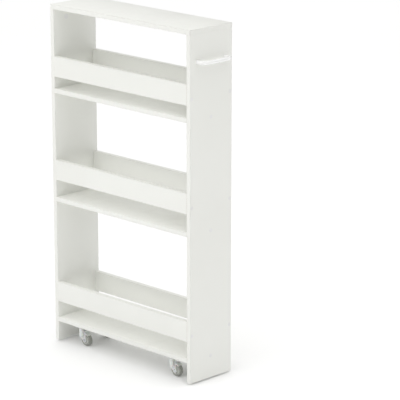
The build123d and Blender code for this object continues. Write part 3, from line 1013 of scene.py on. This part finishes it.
# %% Cams and their covers
def cam_mesh(radius, depth):
    """A cam with its face at height 0 and its body below, with a lip, a cross recess and eased rims."""
    ease = 0.04 * radius
    profile = [(0, -depth), (radius - ease, -depth), (radius, -depth + ease), (radius, -ease)]
    profile += [(radius - ease, 0), (0.86 * radius, 0), (0.83 * radius, -ease), (0, -ease)]
    blade = cross_blade(0.66 * radius, 0.2 * radius, 0.4 * depth, 0.1 * radius)
    return cut_recess(mesh_from("cam", lathe(profile, steps=48)), blade, 35)


CAM_COVER_THICKNESS = 0.4 * millimetre
CAM_COVER_MARGIN = 1.0 * millimetre
cam_low, cam_high = island_boxes("cams")[0]
cam_size = cam_high - cam_low
cams = cam_mesh(cam_size.y / 2, cam_size.x)
cam_places = side_places("cams", outward=False)
set_fasteners("cams", cams, cam_places, cast_zinc, seed=11)
covers = cap_mesh(cam_size.y / 2 + CAM_COVER_MARGIN, CAM_COVER_THICKNESS)
set_fasteners("cams", covers, cam_places, cap_foil, seed=12, name="cam_covers")

# %% [markdown]
# ## Wheels
# The tread is a soft ring moulded over a hard centre. Its mould leaves a fine parting line round the
# middle of the tread, and its shoulders are rounded so that it rolls over grit. The centre is dished on
# both sides to save plastic, and thin ribs carry the rim. The ribs repeat round the axle, so a tree
# makes them.

# %% A tree that adds ribs round an axis
def rib_tree():
    tree, given, end = new_geometry_tree("ribs_round_axis", [
        ("Count", WHOLE, 8),
        ("Inner", FLOAT, 0.004),
        ("Outer", FLOAT, 0.009),
        ("Thickness", FLOAT, 0.001),
        ("Height", FLOAT, 0.01),
        ("Finish", MATERIAL, None),
    ])
    value = given.outputs
    middle = calculate(tree, "MULTIPLY", calculate(tree, "ADD", value["Inner"], value["Outer"]), 0.5)
    reach = calculate(tree, "SUBTRACT", value["Outer"], value["Inner"])
    size = take(tree, "ShaderNodeCombineXYZ", {0: reach, 1: value["Thickness"], 2: value["Height"]})
    bar = take(tree, "GeometryNodeMeshCube", {"Size": size})
    rib = move(tree, bar, combine(tree, 0, middle))
    points = take(tree, "GeometryNodePoints", {"Count": value["Count"]})
    index = tree.nodes.new("GeometryNodeInputIndex").outputs[0]
    angle = calculate(tree, "MULTIPLY", calculate(tree, "DIVIDE", index, value["Count"]), 2 * math.pi)
    copies = copy_to_points(tree, points, rib, turn_about_z(tree, angle))
    end_tree(tree, end, join(tree, [copies, value["Geometry"]]), value["Finish"])
    return tree


ribs = rib_tree()

# %% Tyre and wheel centre
SHOULDER_ROUNDING = 2.0 * millimetre
PARTING_LINE = 0.22 * millimetre
HUB_BORE = 2.55 * millimetre
HUB_BOSS = 4.8 * millimetre
HUB_RIM = 9.2 * millimetre
HUB_DISH = 2.0 * millimetre
HUB_EASE = 0.35 * millimetre
RIB_COUNT = 8
RIB_THICKNESS = 0.9 * millimetre
RIB_ROOT = 0.1 * millimetre
RIB_SETBACK = 0.4 * millimetre


def tyre_profile(outer, inner, half_width):
    """Cross-section of the tread ring, with shoulder roundings, side grooves and a parting line."""
    line = PARTING_LINE
    groove = inner + 0.45 * (outer - SHOULDER_ROUNDING - inner)
    half = [(inner, -half_width), (groove - line, -half_width), (groove, -half_width + line)]
    half += [(groove + line, -half_width)]
    shoulder = (outer - SHOULDER_ROUNDING, -half_width + SHOULDER_ROUNDING)
    half += arc(shoulder, SHOULDER_ROUNDING, -90, 0, 8)
    half += [(outer, -line), (outer - 0.8 * line, -0.3 * line)]
    return half + [(r, -h) for r, h in reversed(half)]


def hub_profile(outer, half_width):
    """Cross-section of the wheel centre, dished on both sides, with eased corners."""
    ease = HUB_EASE
    boss = HUB_BOSS
    rim = HUB_RIM
    floor = -half_width + HUB_DISH
    half = [(HUB_BORE, -half_width + ease), (HUB_BORE + ease, -half_width), (boss - ease, -half_width)]
    half += [(boss, -half_width + ease), (boss + ease, floor - ease), (boss + 2 * ease, floor)]
    half += [(rim - 2 * ease, floor), (rim - ease, floor - ease), (rim, -half_width + ease)]
    half += [(rim + ease, -half_width), (outer, -half_width)]
    return half + [(r, -h) for r, h in reversed(half)]


def finish_wheel_piece(piece, corner, node, centre):
    """Turn a wheel piece's axis from Z to Y and put it on its axle."""
    piece.data.transform(Matrix.Translation(centre) @ Matrix.Rotation(math.pi / 2, 4, "X"))
    declare(piece, f"{corner}_wheel_body", node)


def make_wheel(corner):
    low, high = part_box(f"{corner}_tyre")
    centre = (low + high) / 2
    outer = (high.z - low.z) / 2
    half_width = (high.y - low.y) / 2
    hub_low, hub_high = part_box(f"{corner}_wheel_hub")
    hub_radius = (hub_high.z - hub_low.z) / 2
    ring = lathe(tyre_profile(outer, hub_radius, half_width), steps=72)
    tyre = object_from(f"{corner}_tread_ring", mesh_from("tread_ring", ring, smooth_angle=28))
    tyre.data.materials.append(tread_rubber)
    finish_wheel_piece(tyre, corner, f"{corner}_tyre", centre)
    disc = lathe(hub_profile(hub_radius, half_width), steps=72)
    source = object_from("hub_source", mesh_from("wheel_centre", disc, smooth_angle=28))
    hub = grow(f"{corner}_wheel_centre", source, ribs, {
        "Count": RIB_COUNT,
        "Inner": HUB_BOSS - RIB_ROOT,
        "Outer": HUB_RIM + RIB_ROOT,
        "Thickness": RIB_THICKNESS,
        "Height": 2 * (half_width - RIB_SETBACK),
        "Finish": wheel_plastic,
    })
    finish_wheel_piece(hub, corner, f"{corner}_wheel_hub", centre)
    print(corner, "wheel:", round(2 * outer / millimetre, 1), "mm across")


for corner in ("front_left", "front_right", "back_left", "back_right"):
    make_wheel(corner)

# %% [markdown]
# ## The bow handle
# One length of round bar, bent twice and coated after bending. The bend follows a path, so a tree
# rounds the corners of a three-sided line and sweeps a circle along it.

# %% A tree that bends a round bar
def bent_bar_tree():
    tree, given, end = new_geometry_tree("bent_bar", [
        ("Bend radius", FLOAT, 0.014),
        ("Bar radius", FLOAT, 0.005),
        ("Bend steps", WHOLE, 16),
        ("Finish", MATERIAL, None),
    ])
    value = given.outputs
    path = take(tree, "GeometryNodeMeshToCurve", {"Mesh": value["Geometry"]})
    bent = round_corners(tree, path, value["Bend radius"], value["Bend steps"])
    circle = {"Resolution": 36, "Radius": value["Bar radius"]}
    section = take(tree, "GeometryNodeCurvePrimitiveCircle", circle)
    end_tree(tree, end, sweep(tree, bent, section), value["Finish"])
    return tree


BAR_RADIUS = 5 * millimetre
BEND_RADIUS = 14 * millimetre


def make_handle():
    low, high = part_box("bow_handle")
    height = (low.z + high.z) / 2
    reach = high.x - BAR_RADIUS
    side = high.y - BAR_RADIUS
    corners = [(low.x, -side, height), (reach, -side, height), (reach, side, height), (low.x, side, height)]
    line = bpy.data.meshes.new("handle_line")
    line.from_pydata(corners, [(0, 1), (1, 2), (2, 3)], [])
    source = object_from("handle_source", line)
    values = {"Bend radius": BEND_RADIUS, "Bar radius": BAR_RADIUS, "Finish": powder_coat}
    handle = grow("coated_bow_handle", source, bent_bar_tree(), values)
    shade(handle, 50)
    declare(handle, "cabinet", "bow_handle")
    print("handle faces:", len(handle.data.polygons))


make_handle()

# %% [markdown]
# ## The floor
# A plain white sheet that is much larger than the cart. It isn't part of the object.

# %% Floor
FLOOR_SIZE = 600.0


def make_floor():
    shape = bmesh.new()
    bmesh.ops.create_grid(shape, x_segments=1, y_segments=1, size=FLOOR_SIZE / 2)
    floor = object_from("studio_floor", mesh_from("studio_floor", shape))
    material, tree, shader, position = new_material("white_floor")
    patches = noise_mask(tree, position, 0.7, 0.3, 0.7)
    tone = mix_colours(tree, patches, (1.0, 1.0, 1.0, 1), (0.985, 0.985, 0.985, 1))
    tree.links.new(tone, shader.inputs["Base Color"])
    shader.inputs["Roughness"].default_value = 0.9
    shader.inputs["Specular IOR Level"].default_value = 0.1
    floor.data.materials.append(material)


make_floor()

# %% [markdown]
# ## Pieces kept as they are
# The forks, plates, pins, washers, rings, axles, panel screws, cam bolts and dowels already have their
# true shape in the frame, and most of them are hidden. They only need their finish, which each gets by
# the ending of its name.

# %% Finishes of the pieces that come from the frame
CAD_FINISHES = {
    "_fork": caster_nylon,
    "_thrust_washer": caster_nylon,
    "_caster_plate": zinc_plate,
    "_swivel_pin": zinc_plate,
    "_retaining_ring": zinc_plate,
    "_axle": zinc_plate,
    "panel_screws": zinc_plate,
    "cam_bolts": zinc_plate,
    "dowels": beech,
}
for node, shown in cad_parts.items():
    for ending, finish in CAD_FINISHES.items():
        if node.endswith(ending):
            shown.data.materials.clear()
            shown.data.materials.append(finish)
            print(node, "in", finish.name)
